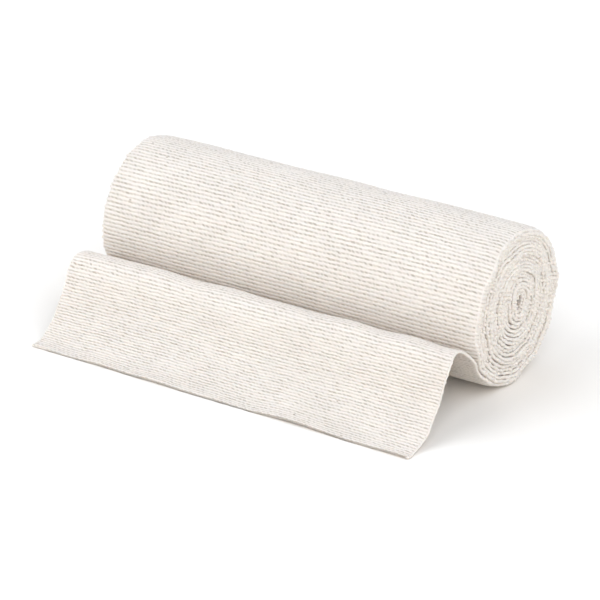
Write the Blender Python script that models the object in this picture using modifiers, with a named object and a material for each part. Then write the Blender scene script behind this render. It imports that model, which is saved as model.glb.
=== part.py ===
# Elastic bandage, relaxed: one woven strip wound into a roll that lies on its side.
# Its free end lifts off low at the front, stands up in one fold and runs out flat.
# Metres, +Z up. The strip's width runs along X and the free end points to -Y.
# The origin is the middle of the footprint, on the surface that the roll lies on.

import math
from collections import namedtuple

import bmesh
import bpy
from mathutils import Vector
from mathutils.geometry import interpolate_bezier

# The strip
WEB_WIDTH = 0.150           # selvedge to selvedge
WEB_THICKNESS = 0.0011      # crepe cloth, not stretched

# The wound roll, measured from its axis to the strip's outer face
ROLL_RADIUS = 0.0277        # where the free end lifts off
CORE_RADIUS = 0.0017        # at the inner end of the strip
TURN_GAP = 0.0002           # clear space between two turns
LIFT_OFF_DEGREES = 50.0     # round from the bottom of the roll towards the front
EYE_STRETCH = 0.0013        # how far the innermost turn is drawn out, up and down
EYE_BACK = 0.0010           # how far the eye sits behind the roll's axis
EYE_UP = 0.0006             # how far the eye sits above the roll's axis
SIDE_WANDER = 0.0004        # how far the turns slip sideways, each way
TURNS_PER_WANDER = 5.3      # turns between one slip and the next

# The free end
FREE_REACH = 0.0466         # from the lift-off forward to the cut edge
FOLD_HEIGHT = 0.0254        # underside of the fold's crest above the surface

# How finely the round forms are cut up
CHORD_ERROR = 0.00006       # between a turn and its straight facets
STEPS_PER_BEND = 9          # along each bend of the free end

WEB_COLOUR = (0.91, 0.87, 0.80, 1.0)
WEB_ROUGHNESS = 0.92

# Where one selvedge of the free end passes: reach is a share of FREE_REACH, height is a
# share of FOLD_HEIGHT, and slope is in degrees, climbing forward.
Place = namedtuple("Place", "reach height slope")

# One row for each bend of the free end. The leads say how long the strip keeps the row's
# slope before and after it, as shares of the way to the next row.
Bend = namedtuple("Bend", "right left lead_in lead_out")
LIFT_OFF_LEAD = 0.45
BENDS = [
    Bend(Place(0.385, 1.000, 0), Place(0.405, 0.960, 0), 0.30, 0.34),       # crest
    Bend(Place(0.530, 0.570, -73), Place(0.585, 0.530, -61), 0.40, 0.36),   # steep front
    Bend(Place(0.700, 0.185, -33), Place(0.740, 0.170, -34), 0.42, 0.36),   # run-out
    Bend(Place(0.955, 0.000, 0), Place(0.930, 0.000, 0), 0.30, 0.33),       # touches down
    Bend(Place(1.000, 0.000, 0), Place(0.985, 0.000, 0), 0.33, 0.33),       # cut edge
]

# Worked out from the sizes above
FULL_TURN = 2 * math.pi
LIFT_OFF = math.radians(LIFT_OFF_DEGREES)
TURN_PITCH = WEB_THICKNESS + TURN_GAP
CORE_ANGLE = LIFT_OFF - FULL_TURN * (ROLL_RADIUS - CORE_RADIUS) / TURN_PITCH
FOOT_DEPTH = TURN_GAP / 2   # how much the roll's own weight flattens its underside


def radius_at(angle):
    """Distance from the roll's axis to the outer face, without the drawn-out eye."""
    return ROLL_RADIUS - (LIFT_OFF - angle) * TURN_PITCH / FULL_TURN


FOOT_ANGLE = math.acos(1 - FOOT_DEPTH / radius_at(0))
AXIS_HEIGHT = radius_at(-FOOT_ANGLE) * math.cos(FOOT_ANGLE)


def wound_place(angle):
    """Outer face of the wound strip as (y, z) from the axis, by the angle from the bottom."""
    radius = radius_at(angle)
    depth = (ROLL_RADIUS - radius) / (ROLL_RADIUS - CORE_RADIUS)
    y = depth * EYE_BACK - radius * math.sin(angle)
    z = depth * EYE_UP - (radius + depth * EYE_STRETCH) * math.cos(angle)
    return y, max(z, -AXIS_HEIGHT)


def side_slip(angle):
    """How far a turn has slipped along X. The free end has not."""
    return SIDE_WANDER * math.sin((LIFT_OFF - angle) / TURNS_PER_WANDER)


def turn_angles():
    """Angles from the inner end to the lift-off, with a flat facet under the roll."""
    outward = [FOOT_ANGLE]
    while outward[-1] < LIFT_OFF:
        outward.append(outward[-1] + facet_angle(outward[-1]))
    outward[-1] = LIFT_OFF
    inward = [-FOOT_ANGLE]
    while inward[-1] > CORE_ANGLE:
        inward.append(inward[-1] - facet_angle(inward[-1]))
    inward[-1] = CORE_ANGLE
    return inward[::-1] + outward


def facet_angle(angle):
    """The turn of one facet that stays within the chord error at this radius."""
    return 2 * math.acos(1 - CHORD_ERROR / radius_at(angle))


def climb(degrees):
    """Direction along the strip, forward, for a slope."""
    slope = math.radians(degrees)
    return Vector((0, -math.cos(slope), math.sin(slope)))


def free_end_points(side):
    """One selvedge of the free end, after the lift-off, in the roll's own frame."""
    start_y, start_z = wound_place(LIFT_OFF)
    here = Vector((0, start_y, start_z))
    heading = climb(LIFT_OFF_DEGREES)
    lead_out = LIFT_OFF_LEAD
    points = []
    for bend in BENDS:
        place = getattr(bend, side)
        there = Vector((0, start_y - place.reach * FREE_REACH, place.height * FOLD_HEIGHT - AXIS_HEIGHT))
        way = (there - here).length
        arrival = climb(place.slope)
        curve = interpolate_bezier(
            here,
            here + heading * way * lead_out,
            there - arrival * way * bend.lead_in,
            there,
            STEPS_PER_BEND + 1,
        )
        points += curve[1:]
        here, heading, lead_out = there, arrival, bend.lead_out
    return points


def selvedge_points(side):
    """The strip's outer face along one selvedge, from the inner end to the cut edge."""
    half_width = WEB_WIDTH / 2 if side == "right" else -WEB_WIDTH / 2
    points = []
    for angle in turn_angles():
        y, z = wound_place(angle)
        points.append(Vector((half_width + side_slip(angle), y, z)))
    for point in free_end_points(side):
        points.append(Vector((half_width, point.y, point.z)))
    return points


def placed(points, shift):
    """The same points moved by a shift."""
    return [point + shift for point in points]


def web_surface():
    """The strip's outer face: the right selvedge drawn across to the left one."""
    right = selvedge_points("right")
    left = selvedge_points("left")
    front = min(point.y for point in right + left)
    back = max(point.y for point in right + left)
    to_origin = Vector((0, -(front + back) / 2, AXIS_HEIGHT))
    right = placed(right, to_origin)
    left = placed(left, to_origin)

    surface = bmesh.new()
    corners = [surface.verts.new(point) for point in right]
    edges = [surface.edges.new(pair) for pair in zip(corners, corners[1:])]
    drawn = bmesh.ops.extrude_edge_only(surface, edges=edges)
    across = [edge for edge in surface.edges if (edge.verts[0] in corners) != (edge.verts[1] in corners)]
    left_of = {}
    for edge in across:
        near, far = edge.verts if edge.verts[0] in corners else reversed(edge.verts)
        left_of[near] = far
    for corner, point in zip(corners, left):
        left_of[corner].co = point
    faces = [item for item in drawn["geom"] if isinstance(item, bmesh.types.BMFace)]
    turn_outward(surface, faces)
    mesh = bpy.data.meshes.new("bandage_web")
    surface.to_mesh(mesh)
    surface.free()
    return mesh


def turn_outward(surface, faces):
    """Points every face away from the roll, so that the cloth's thickness grows inward."""
    lowest = min(faces, key=lambda face: face.calc_center_median().z)
    surface.normal_update()
    if lowest.normal.z > 0:
        bmesh.ops.reverse_faces(surface, faces=faces)


def web_material():
    material = bpy.data.materials.new("crepe_web")
    material.use_nodes = True
    shader = material.node_tree.nodes["Principled BSDF"]
    shader.inputs["Base Color"].default_value = WEB_COLOUR
    shader.inputs["Roughness"].default_value = WEB_ROUGHNESS
    shader.inputs["Metallic"].default_value = 0.0
    return material


def make_web(collection):
    mesh = web_surface()
    mesh.shade_smooth()
    mesh.materials.append(web_material())
    web = bpy.data.objects.new("bandage_web", mesh)
    collection.objects.link(web)
    cloth = web.modifiers.new("cloth thickness", "SOLIDIFY")
    cloth.thickness = WEB_THICKNESS
    cloth.offset = -1
    cloth.use_even_offset = True
    return web


def main():
    for old in list(bpy.data.objects):
        bpy.data.objects.remove(old, do_unlink=True)
    collection = bpy.data.collections.new("elastic_bandage")
    bpy.context.scene.collection.children.link(collection)
    make_web(collection)


main()
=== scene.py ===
import math

import bpy
import numpy as np
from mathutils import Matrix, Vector
from mathutils.geometry import interpolate_bezier


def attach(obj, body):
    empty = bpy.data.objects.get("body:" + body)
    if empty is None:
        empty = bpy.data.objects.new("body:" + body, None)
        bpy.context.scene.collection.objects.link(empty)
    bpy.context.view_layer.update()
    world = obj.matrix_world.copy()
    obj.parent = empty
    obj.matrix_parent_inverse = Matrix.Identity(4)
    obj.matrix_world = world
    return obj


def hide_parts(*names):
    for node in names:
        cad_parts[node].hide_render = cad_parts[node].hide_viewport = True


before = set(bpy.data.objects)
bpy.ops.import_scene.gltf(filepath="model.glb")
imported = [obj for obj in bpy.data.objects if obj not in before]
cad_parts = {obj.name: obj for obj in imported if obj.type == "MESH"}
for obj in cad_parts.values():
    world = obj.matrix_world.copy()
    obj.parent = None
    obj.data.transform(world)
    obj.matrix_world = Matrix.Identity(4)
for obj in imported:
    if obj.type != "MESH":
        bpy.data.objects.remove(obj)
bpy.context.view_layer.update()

# Elastic bandage: one crepe strip wound into a roll, its free end folded up in front.
# The cloth is made in four runs that meet end to end: two runs of turns inside the roll,
# the last turn round it, and the free end. Metres, in the frame's own axes.

fullTurn = 2 * math.pi
millimetre = 0.001

strip = {
    "width": 0.150,
    "thickness": 0.0011,        # over the crowns of the ribs
    "turnGap": 0.0002,          # clear space between two turns
    "rollRadius": 0.0277,       # axis to outer face at the lift-off
    "coreRadius": 0.0017,       # at the inner end
    "liftOffDegrees": 50.0,     # round from the bottom towards the front
    "liftOffLead": 0.45,        # how long the strip keeps its slope there
    "eyeStretch": 0.0013,       # the innermost turn is drawn out, up and down
    "eyeBack": 0.0022,          # and sits behind and above the roll's axis
    "eyeUp": 0.0012,
    "sideWander": 0.0004,       # how far the turns slip sideways, each way
    "turnsPerWander": 5.3,      # turns between one slip and the next
    "freeReach": 0.0466,        # from the lift-off to the cut edge
    "foldHeight": 0.0254,       # underside of the crest above the surface
}

# Bends of the free end. Reach and height are shares of freeReach and foldHeight, and the
# slope is in degrees climbing forward, at the right and at the left selvedge.
bends = [
    {"right": (0.385, 1.000, 0), "left": (0.405, 0.960, 0), "leadIn": 0.30, "leadOut": 0.34},
    {"right": (0.530, 0.570, -73), "left": (0.585, 0.530, -61), "leadIn": 0.40, "leadOut": 0.36},
    {"right": (0.700, 0.185, -33), "left": (0.740, 0.170, -34), "leadIn": 0.42, "leadOut": 0.36},
    {"right": (0.955, 0.000, 0), "left": (0.930, 0.000, 0), "leadIn": 0.30, "leadOut": 0.33},
    {"right": (1.000, 0.000, 0), "left": (0.985, 0.000, 0), "leadIn": 0.33, "leadOut": 0.33},
]
stepsPerBend = 80

halfWidth = strip["width"] / 2
turnPitch = strip["thickness"] + strip["turnGap"]
liftOff = math.radians(strip["liftOffDegrees"])
coreAngle = liftOff - fullTurn * (strip["rollRadius"] - strip["coreRadius"]) / turnPitch


def radiusAt(angle):
    return strip["rollRadius"] - (liftOff - angle) * turnPitch / fullTurn


# The roll's own weight flattens its underside, by half the space between two turns.
footAngle = math.acos(1 - strip["turnGap"] / 2 / radiusAt(0))
axisHeight = radiusAt(-footAngle) * math.cos(footAngle)


def woundPlace(angle):  # outer face as (y, z) from the roll's axis
    radius = radiusAt(angle)
    depth = (strip["rollRadius"] - radius) / (strip["rollRadius"] - strip["coreRadius"])
    y = depth * strip["eyeBack"] - radius * np.sin(angle)
    z = depth * strip["eyeUp"] - (radius + depth * strip["eyeStretch"]) * np.cos(angle)
    return y, np.maximum(z, -axisHeight)


def climb(degrees):
    slope = math.radians(degrees)
    return Vector((0, -math.cos(slope), math.sin(slope)))


def freePlaces(side):  # outer face of the free end along one selvedge
    startY, startZ = woundPlace(liftOff)
    here = Vector((0, startY, startZ))
    heading = climb(strip["liftOffDegrees"])
    leadOut = strip["liftOffLead"]
    places = []
    for bend in bends:
        reach, height, slope = bend[side]
        there = Vector((0, startY - reach * strip["freeReach"], height * strip["foldHeight"] - axisHeight))
        way = (there - here).length
        arrival = climb(slope)
        leaving = here + heading * way * leadOut
        arriving = there - arrival * way * bend["leadIn"]
        places += interpolate_bezier(here, leaving, arriving, there, stepsPerBend + 1)[1:]
        here, heading, leadOut = there, arrival, bend["leadOut"]
    return np.array([(place.y, place.z) for place in places])


# The route of the cloth's outer face, by the length along it, which is 0 at the lift-off.
route = {}
routeStep = math.radians(1)
woundAngles = np.append(np.arange(coreAngle, liftOff, routeStep), liftOff)
woundYZ = np.stack(woundPlace(woundAngles), axis=1)
for side in ("left", "right"):
    route[side] = np.vstack([woundYZ, freePlaces(side)])
axisY = -(min(route[side][:, 0].min() for side in route) + woundYZ[:, 0].max()) / 2
for side in route:
    route[side] = route[side] + np.array([axisY, axisHeight])
stepLengths = sum(np.linalg.norm(np.diff(route[side], axis=0), axis=1) for side in route) / 2
along = np.concatenate([[0], np.cumsum(stepLengths)])
innerLength = along[len(woundAngles) - 1]
along = along - innerLength
freeLength = along[-1]
routeAngles = np.concatenate([woundAngles, liftOff + along[len(woundAngles):] / strip["rollRadius"]])
lastTurnStart = np.interp(liftOff - fullTurn, woundAngles, along[:len(woundAngles)])
print("strip length", round(innerLength + freeLength, 3), "free end", round(freeLength, 4))

courses = {}
for side in ("left", "right"):
    heading = np.gradient(route[side], axis=0)
    heading /= np.linalg.norm(heading, axis=1)[:, None]
    courses[side] = [route[side][:, 0], route[side][:, 1], heading[:, 1], -heading[:, 0]]


def routeAt(length, across):  # place and the way inwards, by the share across from the left
    left = [np.interp(length, along, column) for column in courses["left"]]
    right = [np.interp(length, along, column) for column in courses["right"]]
    y, z, inY, inZ = [a * (1 - across) + b * across for a, b in zip(left, right)]
    size = np.hypot(inY, inZ)
    return y, z, inY / size, inZ / size


# Unevenness by hand and loom: its size, the length of its waves and its random seed.
unevenness = {
    "ribDrift": {"size": 0.16 * millimetre, "wavelength": 0.060, "seed": 11},
    "ribWaver": {"size": 0.056 * millimetre, "wavelength": 0.0045, "seed": 12},
    "grain": {"size": 0.14, "wavelength": 0.0024, "seed": 13},
    "rollDents": {"size": 0.10 * millimetre, "wavelength": 0.040, "seed": 21},
    "freeDents": {"size": 0.28 * millimetre, "wavelength": 0.034, "seed": 22},
    "selvedgeDrift": {"size": 0.12 * millimetre, "wavelength": 0.030, "seed": 23},
    "endDents": {"size": 0.25 * millimetre, "wavelength": 0.013, "seed": 24},
}
waveCount = 7
waveSpread = (0.6, 1.4)         # shortest and longest wave, as shares of the wavelength


def between(limits, share):
    return limits[0] + (limits[1] - limits[0]) * share


def uneven(name, a, b):  # a sum of waves that run all ways over the plane of a and b
    kind = unevenness[name]
    pick = np.random.default_rng(kind["seed"])
    total = np.zeros(np.broadcast(a, b).shape)
    for _ in range(waveCount):
        heading, start, stretch = pick.random(3)
        pace = fullTurn / (kind["wavelength"] * between(waveSpread, stretch))
        direction = heading * fullTurn
        total += np.sin(pace * (a * math.cos(direction) + b * math.sin(direction)) + start * fullTurn)
    return kind["size"] * total / math.sqrt(waveCount / 2)


def ramp(value, start, end):  # smoothly from 0 to 1
    share = np.clip((value - start) / (end - start), 0, 1)
    return share * share * (3 - 2 * share)


# The weave: ribs run across the strip, with grooves between them.
weave = {
    "ribPitch": 1.45 * millimetre,      # where the strip is wound under tension
    "freeRibPitch": 1.11 * millimetre,  # where it lies free
    "crownPower": 0.7,          # of a rib's section, where 1 is a plain arch
    "grooveShare": 0.66,        # thickness left in a groove
    "grooveFill": 0.12,         # height of the threads that cross a groove
    "crownSpread": 0.20,        # how much lower the lowest rib stands
    "grainsAlong": 0.9,         # for each grain over the same length across the strip
    "edging": 1.7 * millimetre, # the selvedge's width, closer woven than the rest
    "edgingHeight": 0.55,       # height there between two ribs
    "edgingRibs": 0.25,         # and how much a rib adds to it
}
spareRibs = 3                   # numbered before the first rib that is made
ribCount = int(innerLength / weave["ribPitch"] + freeLength / weave["freeRibPitch"]) + 2 * spareRibs
firstRib = int(-innerLength / weave["ribPitch"]) + 1 - spareRibs
riseSeeds = {"outer": 41, "inner": 42}
ribRise = {face: np.random.default_rng(seed).random(ribCount) for face, seed in riseSeeds.items()}


def ribLength(rib):
    return np.where(rib < 0, rib * weave["ribPitch"], rib * weave["freeRibPitch"])


def ribIndex(rows):  # which rib a row belongs to, counted from the first one
    return np.floor(rows + 1e-6).astype(int) - firstRib


def ribLine(rib, x):  # length along the strip of a rib's line at x
    nominal = ribLength(rib)
    return nominal + uneven("ribDrift", x, nominal) + uneven("ribWaver", x, nominal)


def ribHeight(rib, x, face):  # from 0 in a groove to 1 on a crown
    crown = np.abs(np.sin(np.pi * rib)) ** weave["crownPower"]
    grains = uneven("grain", x, weave["grainsAlong"] * ribLength(rib))
    onCrown = 1 - weave["crownSpread"] * ribRise[face][ribIndex(rib)] + grains
    height = crown * onCrown + (1 - crown) * weave["grooveFill"] * (1 + grains)
    edging = ramp(np.abs(x), halfWidth - weave["edging"], halfWidth - weave["edging"] / 2)
    return height * (1 - edging) + (weave["edgingHeight"] + weave["edgingRibs"] * crown) * edging


# The outermost turns give way at their selvedges, so the roll has rounded shoulders.
shoulder = {
    "dip": 0.7 * millimetre,    # inwards at the last turn's selvedges
    "width": 3.5 * millimetre,
    "back": 0.5 * millimetre,   # how far the last turn's selvedges are drawn back
    "turns": 2.0,               # over which both fade inwards
    "fade": (0.006, -0.010),    # lengths past the lift-off with none and all of both
}
dentRadius = 0.027              # of the round that the roll's dents are spread over
freeStart = (0.004, 0.020)      # lengths with the roll's dents and with the free end's
raggedPower = 4                 # how fast raggedness fades away from the selvedges


def shoulderShare(length, angle):  # 1 at the last turn, less inside it, and 0 on the free end
    return np.exp((angle - liftOff) / fullTurn / shoulder["turns"]) * ramp(length, *shoulder["fade"])


def sway(length, x):  # how far the cloth stands off its route, outward below 0
    angle = np.interp(length, along, routeAngles)
    edge = np.clip((np.abs(x) - halfWidth + shoulder["width"]) / shoulder["width"], 0, 1)
    dip = shoulder["dip"] * edge ** 2 * shoulderShare(length, angle)
    onRoll = uneven("rollDents", dentRadius * np.cos(angle), x + dentRadius * np.sin(angle))
    onFree = uneven("freeDents", length, x)
    share = ramp(length, *freeStart)
    return dip + onRoll * (1 - share) + onFree * share


def sideShift(length, x):  # turns slip sideways, and each selvedge is a little ragged
    angle = np.interp(length, along, routeAngles)
    y, z = routeAt(length, 0.5)[:2]
    end = np.sign(x)
    slip = np.where(length < 0, strip["sideWander"] * np.sin((liftOff - angle) / strip["turnsPerWander"]), 0)
    ragged = uneven("selvedgeDrift", length, end) + uneven("endDents", y, z + end)
    ragged -= end * shoulder["back"] * shoulderShare(length, angle)
    return slip + ragged * (np.abs(x) / halfWidth) ** raggedPower


def clothPoints(rib, x, xShown, offset):  # offset is from the middle of the cloth, inwards above 0
    length = ribLine(rib, x)
    y, z, inY, inZ = routeAt(length, x / strip["width"] + 0.5)
    depth = strip["thickness"] / 2 + offset + sway(length, x)
    onFloor = np.maximum(z + inZ * depth, 0)
    return np.stack([xShown + sideShift(length, x), y + inY * depth, onFloor], axis=-1), length


# The selvedges: at each rib a loop of weft stands out, some more than others.
rim = {
    "inset": 0.45 * millimetre,     # where a loop starts, in from the selvedge
    "foot": 1.0 * millimetre,       # where the cloth's face starts to give way to it
    "degrees": (26, 58, 90, 122, 154),  # round a loop, from the outer to the inner face
    "endPower": 0.8,                # of a loop's end, where 1 is a round end
    "crownPower": 0.6,              # of a loop along the selvedge, where 1 is a plain arch
    "waist": 0.62,                  # thickness between two loops
    "plumpness": (0.9, 1.1),        # of a loop, thinnest and thickest
    "drift": 0.3,                   # of a loop along the selvedge, in ribs each way
    "shade": 0.35,                  # attribute between two loops, 1 on a loop's crown
    "seeds": {1: 51, -1: 52},       # at the right end of the roll and at the left
}


def columnsAcross(count):  # evenly spaced, with two more at each selvedge
    start = halfWidth - weave["edging"]
    edge = halfWidth - np.array([rim["inset"], rim["foot"]])
    return np.concatenate([-edge, np.linspace(-start, start, count - 2 * len(edge)), edge[::-1]])


def facePoints(rows, columns, face, run):
    rib, x = np.meshgrid(rows, columns, indexing="ij")
    body = between((weave["grooveShare"], 1), ribHeight(rib, x, face))
    side = 1 if face == "inner" else -1
    points, length = clothPoints(rib, x, x, side * body * run["thickness"] / 2)
    return points, length, rib, np.zeros(rib.shape)


def rimPoints(rows, end, run):
    reach, lean, plump, drift = np.random.default_rng(rim["seeds"][end]).random((4, ribCount))
    index = ribIndex(rows)
    crown = np.abs(np.sin(np.pi * rows)) ** rim["crownPower"]
    out = between(run["loopReach"], reach[index]) * crown
    fullness = between((rim["waist"], between(rim["plumpness"], plump[index])), crown)
    half = run["loopThickness"] / 2 * fullness
    aside = run["loopLean"] * (2 * lean[index] - 1) * crown
    shifted = rows + rim["drift"] * (2 * drift[index] - 1) * crown ** 2
    parts = []
    for degrees in rim["degrees"]:
        turn = math.radians(degrees)
        shown = end * (halfWidth - rim["inset"] + (rim["inset"] + out) * math.sin(turn) ** rim["endPower"])
        offset = -math.cos(turn) * half + math.sin(turn) * aside
        points, length = clothPoints(shifted, np.full(len(rows), end * halfWidth), shown, offset)
        parts.append((points, length, rows, between((rim["shade"], 1), crown)))
    return [np.stack(values, axis=1) for values in zip(*parts)]


def mirrored(parts):
    return [part[:, ::-1] for part in parts]


innerShift = 1.1                # keeps the inner face's map apart from the outer's, across


def clothRun(name, run):
    ribStart, ribEnd = run["ribs"]
    steps = np.arange(run["rowsPerRib"]) / run["rowsPerRib"]
    rows = np.append((np.arange(ribStart, ribEnd)[:, None] + steps).ravel(), ribEnd)
    outerColumns, innerColumns = columnsAcross(run["outer"]), columnsAcross(run["inner"])
    sides = [
        facePoints(rows, outerColumns, "outer", run),
        rimPoints(rows, 1, run),
        mirrored(facePoints(rows, innerColumns, "inner", run)),
        mirrored(rimPoints(rows, -1, run)),
    ]
    points, length, rib, loop = [np.concatenate(parts, axis=1) for parts in zip(*sides)]
    count = points.shape[1]
    corner = np.arange(len(rows) * count).reshape(len(rows), count)
    nextCorner = np.roll(corner, -1, axis=1)
    quads = np.stack([corner[:-1], nextCorner[:-1], nextCorner[1:], corner[1:]], axis=-1).reshape(-1, 4)
    faces = quads.tolist() + [corner[0, ::-1].tolist(), corner[-1].tolist()]

    mesh = bpy.data.meshes.new(name)
    mesh.from_pydata(points.reshape(-1, 3).tolist(), [], faces)
    for label, values in (("rib", rib), ("loop", loop)):
        layer = mesh.attributes.new(label, "FLOAT", "POINT")
        layer.data.foreach_set("value", values.ravel().astype(np.float32))
    rightRim = np.full(len(rim["degrees"]), halfWidth)
    across = np.concatenate([outerColumns, rightRim, innerColumns[::-1], -rightRim]) / strip["width"] + 0.5
    across[len(outerColumns) + len(rightRim):] += innerShift
    uv = np.stack([np.broadcast_to(across, length.shape), length / strip["width"]], axis=-1).reshape(-1, 2)
    corners = np.zeros(len(mesh.loops), dtype=np.int32)
    mesh.loops.foreach_get("vertex_index", corners)
    mesh.uv_layers.new(name="clothUv").data.foreach_set("uv", uv[corners].ravel().astype(np.float32))
    mesh.shade_smooth()
    piece = bpy.data.objects.new(name, mesh)
    bpy.context.scene.collection.objects.link(piece)
    print(name, "triangles", 2 * len(quads))
    return piece


# Materials
def socket(node, name, value):
    node.inputs[name].default_value = value


def calc(nodes, links, operation, *values):
    node = nodes.new("ShaderNodeMath")
    node.operation = operation
    for slot, value in zip(node.inputs, values):
        if isinstance(value, bpy.types.NodeSocket):
            links.new(value, slot)
        else:
            slot.default_value = value
    return node.outputs["Value"]


def mapRange(nodes, links, value, fromMin, fromMax, toMin, toMax):
    node = nodes.new("ShaderNodeMapRange")
    node.interpolation_type = "SMOOTHSTEP"
    for label, limit in (("From Min", fromMin), ("From Max", fromMax), ("To Min", toMin), ("To Max", toMax)):
        if isinstance(limit, bpy.types.NodeSocket):
            links.new(limit, node.inputs[label])
        else:
            socket(node, label, limit)
    links.new(value, node.inputs["Value"])
    return node.outputs["Result"]


def mix(nodes, links, share, first, second, blend="MIX"):
    node = nodes.new("ShaderNodeMix")
    node.data_type = "RGBA"
    node.blend_type = blend
    slots = {slot.identifier: slot for slot in node.inputs}
    for value, target in ((share, "Factor_Float"), (first, "A_Color"), (second, "B_Color")):
        if isinstance(value, bpy.types.NodeSocket):
            links.new(value, slots[target])
        else:
            slots[target].default_value = value
    return {slot.identifier: slot for slot in node.outputs}["Result_Color"]


def newGroup(name, entries, exits):
    group = bpy.data.node_groups.new(name, "ShaderNodeTree")
    for label, kind in entries:
        group.interface.new_socket(label, in_out="INPUT", socket_type=kind)
    for label in exits:
        group.interface.new_socket(label, in_out="OUTPUT", socket_type="NodeSocketFloat")
    return group, group.nodes.new("NodeGroupInput"), group.nodes.new("NodeGroupOutput")


cotton = {
    "fibreDetail": 4.0,
    "fibreRoughness": 0.7,
    "blotches": 9.0,            # over the strip's width
    "blotchDetail": 3.0,
    "cells": 60.0,              # over the strip's width, few of which have a fleck
    "cellScale": (0.5, 1.0, 1.0),   # flecks are drawn out across the strip
    "fleckEdge": (0.12, 0.05),  # a fleck fades in from the first distance to the second
    "fleckFrom": 0.86,          # a cell whose random number is above it has a fleck
}


def fibreGroup():  # short cotton fibres, broad blotches and rare seed flecks
    entries = (("Cloth", "NodeSocketVector"), ("Fibres per width", "NodeSocketFloat"))
    group, entry, leave = newGroup("cottonFibre", entries, ("Fibre", "Blotch", "Fleck"))
    nodes, links = group.nodes, group.links
    fibre = nodes.new("ShaderNodeTexNoise")
    socket(fibre, "Detail", cotton["fibreDetail"])
    socket(fibre, "Roughness", cotton["fibreRoughness"])
    links.new(entry.outputs["Cloth"], fibre.inputs["Vector"])
    links.new(entry.outputs["Fibres per width"], fibre.inputs["Scale"])
    links.new(fibre.outputs["Fac"], leave.inputs["Fibre"])
    blotch = nodes.new("ShaderNodeTexNoise")
    socket(blotch, "Scale", cotton["blotches"])
    socket(blotch, "Detail", cotton["blotchDetail"])
    links.new(entry.outputs["Cloth"], blotch.inputs["Vector"])
    links.new(blotch.outputs["Fac"], leave.inputs["Blotch"])
    stretch = nodes.new("ShaderNodeMapping")
    socket(stretch, "Scale", cotton["cellScale"])
    links.new(entry.outputs["Cloth"], stretch.inputs["Vector"])
    seed = nodes.new("ShaderNodeTexVoronoi")
    socket(seed, "Scale", cotton["cells"])
    links.new(stretch.outputs["Vector"], seed.inputs["Vector"])
    apart = nodes.new("ShaderNodeSeparateColor")
    links.new(seed.outputs["Color"], apart.inputs["Color"])
    near = mapRange(nodes, links, seed.outputs["Distance"], *cotton["fleckEdge"], 0.0, 1.0)
    rare = calc(nodes, links, "GREATER_THAN", apart.outputs["Red"], cotton["fleckFrom"])
    links.new(calc(nodes, links, "MULTIPLY", near, rare), leave.inputs["Fleck"])
    return group


# A gap's length runs across the strip, by the gaps' spacing, and its width by the ribs'.
gapShape = {
    "bend": 1.6,                # how far the columns of gaps bend, by the gaps' spacing
    "bendScale": 0.5,           # bends for each gap and for each rib
    "halfLength": (0.20, 0.40),
    "halfWidth": (0.10, 0.20),
    "lengthEdge": 0.10,
    "widthEdge": 0.12,
    "strength": (0.25, 1.00),
    "paintedGrooveShade": (0.34, 0.06),     # distances from a groove's line where the painted groove shade starts and is full
}


def spread(nodes, links, limits, share):
    return calc(nodes, links, "MULTIPLY_ADD", share, limits[1] - limits[0], limits[0])


def fadeOut(nodes, links, value, full, edge):  # 1 up to full, then down to 0 over the edge
    return mapRange(nodes, links, value, calc(nodes, links, "ADD", full, edge), full, 0.0, 1.0)


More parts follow.
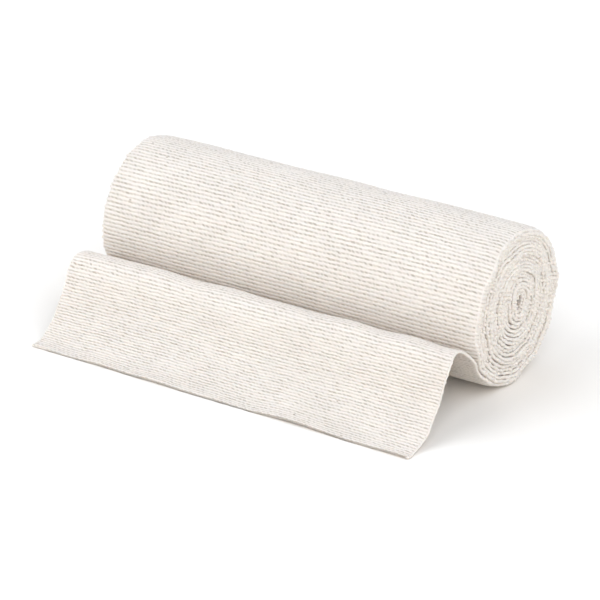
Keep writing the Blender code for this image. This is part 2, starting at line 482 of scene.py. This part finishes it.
def weaveGroup():  # the short gaps between ribs, slanted and broken like loose bricks, and the grooves, as masks for painted shade and for the gaps' bump
    entries = [(label, "NodeSocketFloat") for label in ("Rib", "Across", "Gaps per width", "Slant")]
    group, entry, leave = newGroup("weaveGaps", entries, ("Painted groove shade", "Gap with painted shade", "Grain"))
    nodes, links = group.nodes, group.links
    rib, across = entry.outputs["Rib"], entry.outputs["Across"]
    row = calc(nodes, links, "FLOOR", calc(nodes, links, "ADD", rib, 0.5))
    fromGroove = calc(nodes, links, "SUBTRACT", rib, row)
    rowPick = nodes.new("ShaderNodeTexWhiteNoise")
    rowPick.noise_dimensions = "1D"
    links.new(row, rowPick.inputs["W"])
    straight = calc(nodes, links, "MULTIPLY", across, entry.outputs["Gaps per width"])
    place = nodes.new("ShaderNodeCombineXYZ")
    links.new(straight, place.inputs["X"])
    links.new(rib, place.inputs["Y"])
    bend = nodes.new("ShaderNodeTexNoise")
    socket(bend, "Scale", gapShape["bendScale"])
    links.new(place.outputs["Vector"], bend.inputs["Vector"])
    count = calc(nodes, links, "MULTIPLY_ADD", fromGroove, entry.outputs["Slant"], straight)
    count = calc(nodes, links, "ADD", count, rowPick.outputs["Value"])
    count = calc(nodes, links, "MULTIPLY_ADD", bend.outputs["Fac"], gapShape["bend"], count)
    cell = calc(nodes, links, "FLOOR", count)
    fromMiddle = calc(nodes, links, "SUBTRACT", calc(nodes, links, "FRACT", count), 0.5)
    fromMiddle = calc(nodes, links, "ABSOLUTE", fromMiddle)
    spot = nodes.new("ShaderNodeCombineXYZ")
    links.new(row, spot.inputs["X"])
    links.new(cell, spot.inputs["Y"])
    pick = nodes.new("ShaderNodeTexWhiteNoise")
    links.new(spot.outputs["Vector"], pick.inputs["Vector"])
    apart = nodes.new("ShaderNodeSeparateColor")
    links.new(pick.outputs["Color"], apart.inputs["Color"])
    fromLine = calc(nodes, links, "ABSOLUTE", fromGroove)
    halfLong = spread(nodes, links, gapShape["halfLength"], apart.outputs["Red"])
    halfWide = spread(nodes, links, gapShape["halfWidth"], apart.outputs["Green"])
    strength = spread(nodes, links, gapShape["strength"], apart.outputs["Blue"])
    within = fadeOut(nodes, links, fromMiddle, halfLong, gapShape["lengthEdge"])
    inside = fadeOut(nodes, links, fromLine, halfWide, gapShape["widthEdge"])
    gapWithPaintedShade = calc(nodes, links, "MULTIPLY", calc(nodes, links, "MULTIPLY", within, inside), strength)
    links.new(gapWithPaintedShade, leave.inputs["Gap with painted shade"])
    links.new(mapRange(nodes, links, fromLine, *gapShape["paintedGrooveShade"], 0.0, 1.0), leave.inputs["Painted groove shade"])
    links.new(pick.outputs["Value"], leave.inputs["Grain"])
    return group


crepe = {
    "crown": (0.825, 0.748, 0.664, 1),
    # The groove and gap colours are painted shade: darker than the crown, they stand in for the shade down
    # between the ribs.
    "paintedGrooveShade": (0.765, 0.682, 0.590, 1),
    "gapWithPaintedShade": (0.520, 0.440, 0.350, 1),
    "fleck": (0.360, 0.290, 0.210, 1),
    "grainShade": (0.96, 1.02), # the colour is multiplied by these, least to most
    "fibreShade": (0.93, 1.04),
    "blotchShade": (0.98, 1.02),
    "noiseRange": (0.3, 0.7),   # part of a noise that is spread over those
    "roughness": (0.86, 0.97),
    "sheen": 0.15,
    "sheenRoughness": 0.5,
    "fibres": 480.0,            # by the strip's width
    "gaps": 83.0,
    "slant": 1.1,               # of a gap, by the gaps' spacing for each rib
    "loopStart": 0.3,           # loop attribute from which no gaps or grooves show, nor their painted shade
    "inside": 0.25,             # share of the light that enters the cloth and leaves it again
    "insideReach": (0.0014, 0.0010, 0.0007),
    "bumpStrength": 0.8,
    "bumpHeight": 0.00030,
    "fibreRise": 0.7,           # shares of that height
    "gapRise": -0.8,
}


def grey(nodes, links, value):
    node = nodes.new("ShaderNodeCombineColor")
    for label in ("Red", "Green", "Blue"):
        links.new(value, node.inputs[label])
    return node.outputs["Color"]


def attribute(nodes, name):
    node = nodes.new("ShaderNodeAttribute")
    node.attribute_name = name
    return node.outputs["Fac"]


def crepeMaterial(fibreDetail, weaveDetail):
    material = bpy.data.materials.new("crepeCloth")
    material.use_nodes = True
    nodes, links = material.node_tree.nodes, material.node_tree.links
    shader = nodes["Principled BSDF"]
    place = nodes.new("ShaderNodeUVMap")
    place.uv_map = "clothUv"
    fibres, gaps = nodes.new("ShaderNodeGroup"), nodes.new("ShaderNodeGroup")
    fibres.node_tree, gaps.node_tree = fibreDetail, weaveDetail
    socket(fibres, "Fibres per width", crepe["fibres"])
    links.new(place.outputs["UV"], fibres.inputs["Cloth"])
    apart = nodes.new("ShaderNodeSeparateXYZ")
    links.new(place.outputs["UV"], apart.inputs["Vector"])
    across = apart.outputs["X"]
    onInner = calc(nodes, links, "GREATER_THAN", across, (1 + innerShift) / 2)
    slant = calc(nodes, links, "MULTIPLY_ADD", onInner, -2 * crepe["slant"], crepe["slant"])
    socket(gaps, "Gaps per width", crepe["gaps"])
    links.new(attribute(nodes, "rib"), gaps.inputs["Rib"])
    links.new(across, gaps.inputs["Across"])
    links.new(slant, gaps.inputs["Slant"])
    onFace = mapRange(nodes, links, attribute(nodes, "loop"), 0.0, crepe["loopStart"], 1.0, 0.0)
    paintedGrooveShade = calc(nodes, links, "MULTIPLY", gaps.outputs["Painted groove shade"], onFace)
    gapWithPaintedShade = calc(nodes, links, "MULTIPLY", gaps.outputs["Gap with painted shade"], onFace)
    fibre = fibres.outputs["Fibre"]
    # Painted shade: the colour darkens in the grooves and, more, in the gaps between ribs.
    colour = mix(nodes, links, paintedGrooveShade, crepe["crown"], crepe["paintedGrooveShade"])
    colour = mix(nodes, links, gapWithPaintedShade, colour, crepe["gapWithPaintedShade"])
    shades = (
        (gaps.outputs["Grain"], (0.0, 1.0), crepe["grainShade"]),
        (fibre, crepe["noiseRange"], crepe["fibreShade"]),
        (fibres.outputs["Blotch"], crepe["noiseRange"], crepe["blotchShade"]),
    )
    for value, limits, shade in shades:
        shading = grey(nodes, links, mapRange(nodes, links, value, *limits, *shade))
        colour = mix(nodes, links, 1.0, colour, shading, "MULTIPLY")
    colour = mix(nodes, links, fibres.outputs["Fleck"], colour, crepe["fleck"])
    links.new(colour, shader.inputs["Base Color"])
    roughness = mapRange(nodes, links, fibre, *crepe["noiseRange"], *crepe["roughness"])
    links.new(roughness, shader.inputs["Roughness"])
    bump = nodes.new("ShaderNodeBump")
    socket(bump, "Strength", crepe["bumpStrength"])
    socket(bump, "Distance", crepe["bumpHeight"])
    # The gaps really sink in the bump. Their darker colour above is painted shade.
    height = calc(nodes, links, "MULTIPLY", gapWithPaintedShade, crepe["gapRise"])
    height = calc(nodes, links, "MULTIPLY_ADD", fibre, crepe["fibreRise"], height)
    links.new(height, bump.inputs["Height"])
    links.new(bump.outputs["Normal"], shader.inputs["Normal"])
    socket(shader, "Sheen Weight", crepe["sheen"])
    socket(shader, "Sheen Roughness", crepe["sheenRoughness"])
    socket(shader, "Subsurface Weight", crepe["inside"])
    socket(shader, "Subsurface Radius", crepe["insideReach"])
    socket(shader, "Subsurface Scale", 1.0)
    print("material", material.name)
    return material


crepeCloth = crepeMaterial(fibreGroup(), weaveGroup())

# The runs of cloth, each from one rib to another. Outer and inner are the numbers of
# columns on the two faces, few where a face doesn't show. The loops of weft are plump on
# the roll, so that they fill its ends, and flat on the free end.
innerEnd = firstRib + spareRibs
seamInner = int(round(lastTurnStart / weave["ribPitch"]))
seamCore = (innerEnd + seamInner) // 2
cutEnd = int(freeLength / weave["freeRibPitch"])
wound = {
    "thickness": 1.2 * millimetre,
    "loopThickness": 1.36 * millimetre,
    "loopReach": (0.10 * millimetre, 0.85 * millimetre),
    "loopLean": 0.42 * millimetre,
    "held": "folded",
}
free = {
    "thickness": 1.1 * millimetre,
    "loopThickness": 0.95 * millimetre,
    "loopReach": (0, 0.30 * millimetre),
    "loopLean": 0.10 * millimetre,
    "held": "laid",
}
runs = {
    "coreTurns": {"ribs": (innerEnd, seamCore), "rowsPerRib": 5, "outer": 6, "inner": 6, **wound},
    "middleTurns": {"ribs": (seamCore, seamInner), "rowsPerRib": 5, "outer": 6, "inner": 6, **wound},
    "lastTurn": {"ribs": (seamInner, 0), "rowsPerRib": 4, "outer": 188, "inner": 6, **wound},
    "freeEnd": {"ribs": (0, cutEnd), "rowsPerRib": 4, "outer": 192, "inner": 192, **free},
}
for name, run in runs.items():
    piece = clothRun(name, run)
    piece.data.materials.append(crepeCloth)
    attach(piece, "root")
    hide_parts("bandage_web")

# Floor, light and camera
studio = {
    "floor": (0.940, 0.892, 0.820, 1),
    "floorSize": 6.0,
    "floorRoughness": 0.9,
    "light": (0.948, 1.000, 1.087),     # cool, so that warm cloth looks neutral where it is lit
    "world": 0.15,                      # strength
    "suns": {  # bearing is in degrees from +X towards +Y
        "frontRightSun": {"strength": 2.00, "angle": 60, "bearing": 315, "elevation": 36},
        "frontLeftSun": {"strength": 1.75, "angle": 60, "bearing": 228, "elevation": 36},
        "backRightSun": {"strength": 1.00, "angle": 60, "bearing": 45, "elevation": 36},
        "backLeftSun": {"strength": 0.95, "angle": 60, "bearing": 150, "elevation": 48},
    },
}
bpy.ops.mesh.primitive_plane_add(size=studio["floorSize"], location=(0, 0, 0))
floor = bpy.context.object
floor.name = "floor"
floorMaterial = bpy.data.materials.new("paleFloor")
floorMaterial.use_nodes = True
floorShader = floorMaterial.node_tree.nodes["Principled BSDF"]
socket(floorShader, "Base Color", studio["floor"])
socket(floorShader, "Roughness", studio["floorRoughness"])
floor.data.materials.append(floorMaterial)

world = bpy.data.worlds.new("studio")
world.use_nodes = True
background = world.node_tree.nodes["Background"]
socket(background, "Color", (*studio["light"], 1))
socket(background, "Strength", studio["world"])
bpy.context.scene.world = world
for name, lamp in studio["suns"].items():
    sunLight = bpy.data.lights.new(name, "SUN")
    sunLight.energy = lamp["strength"]
    sunLight.angle = math.radians(lamp["angle"])
    sunLight.color = studio["light"]
    sun = bpy.data.objects.new(name, sunLight)
    sun.rotation_euler = (0, math.radians(90 - lamp["elevation"]), math.radians(lamp["bearing"]))
    bpy.context.scene.collection.objects.link(sun)
bpy.context.scene.view_settings.view_transform = "Standard"
print("studio", len(studio["suns"]), "suns")

# Azimuth is from the front, -Y, towards +X. The aim is under or over the middle of the
# roll's axis, at the aim height, and is then moved right and up in the view's own plane.
view = {
    "azimuth": math.radians(33.51),
    "elevation": math.radians(24.53),
    "distance": 1.1446,
    "focalPixels": 3371,
    "framePixels": 600,
    "sensorWidth": 36,
    "aimRight": -0.00857,
    "aimUp": -0.01265,
    "aimHeight": 0.025,
}
back = Vector((
    math.sin(view["azimuth"]) * math.cos(view["elevation"]),
    -math.cos(view["azimuth"]) * math.cos(view["elevation"]),
    math.sin(view["elevation"]),
))
rightward = Vector((math.cos(view["azimuth"]), math.sin(view["azimuth"]), 0))
upward = back.cross(rightward)
aim = Vector((0, axisY, view["aimHeight"])) + rightward * view["aimRight"] + upward * view["aimUp"]
lens = bpy.data.cameras.new("photoView")
lens.sensor_fit = "HORIZONTAL"
lens.sensor_width = view["sensorWidth"]
lens.lens = view["sensorWidth"] * view["focalPixels"] / view["framePixels"]
camera = bpy.data.objects.new("photoView", lens)
camera.location = aim + back * view["distance"]
camera.rotation_euler = back.to_track_quat("Z", "Y").to_euler()
bpy.context.scene.collection.objects.link(camera)
bpy.context.scene.camera = camera
print("camera", camera.name)
